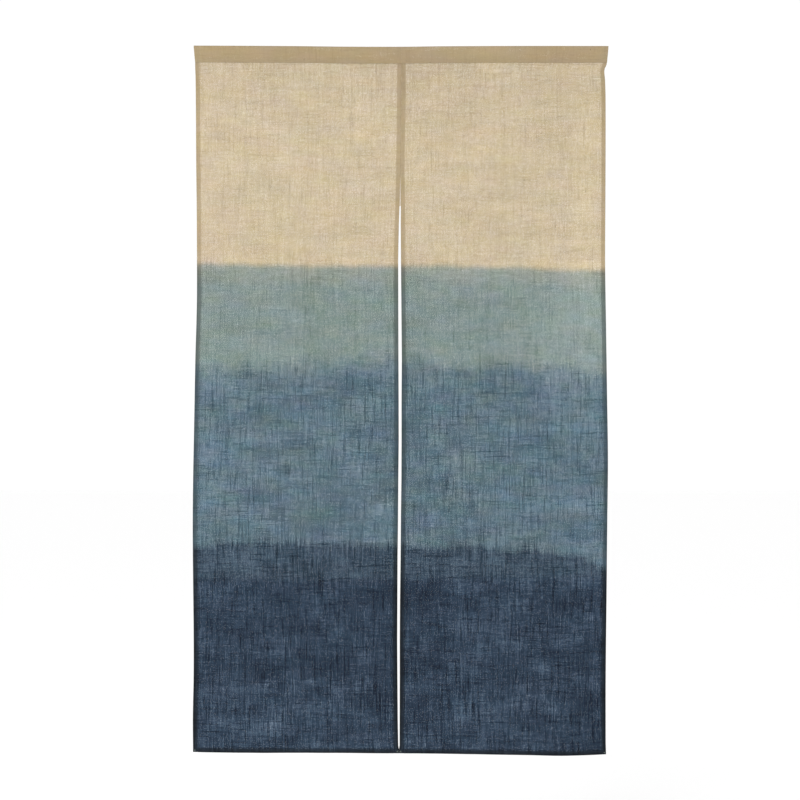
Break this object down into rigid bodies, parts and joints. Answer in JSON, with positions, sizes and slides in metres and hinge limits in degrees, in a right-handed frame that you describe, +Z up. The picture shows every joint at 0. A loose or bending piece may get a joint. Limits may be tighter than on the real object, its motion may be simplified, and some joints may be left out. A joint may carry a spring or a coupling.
{
  "type": "noren doorway curtain",
  "caption": "Hanging cloth doorway curtain with a rod-pocket heading over hemmed panels that part at a long slit, dip-dyed in graded tones.",
  "frame": {"origin": "the middle of the heading's top edge, where a rod or slat would carry the curtain", "axes": "+Z up along the drop, +X along the width to the viewer's right, the front faces -Y"},
  "size_m": [0.8815, 0.0107, 1.5064],
  "materials": {
    "heading_linen": "undyed slub linen, folded double",
    "dyed_linen": "sheer slub linen, dip-dyed from undyed beige through grey-green and denim blue to navy",
    "sewing_thread": "spun sewing thread"
  },
  "bodies": {
    "root": {"heading": "heading_linen", "panel_left": "dyed_linen", "panel_right": "dyed_linen"}
  },
  "joints": []
}
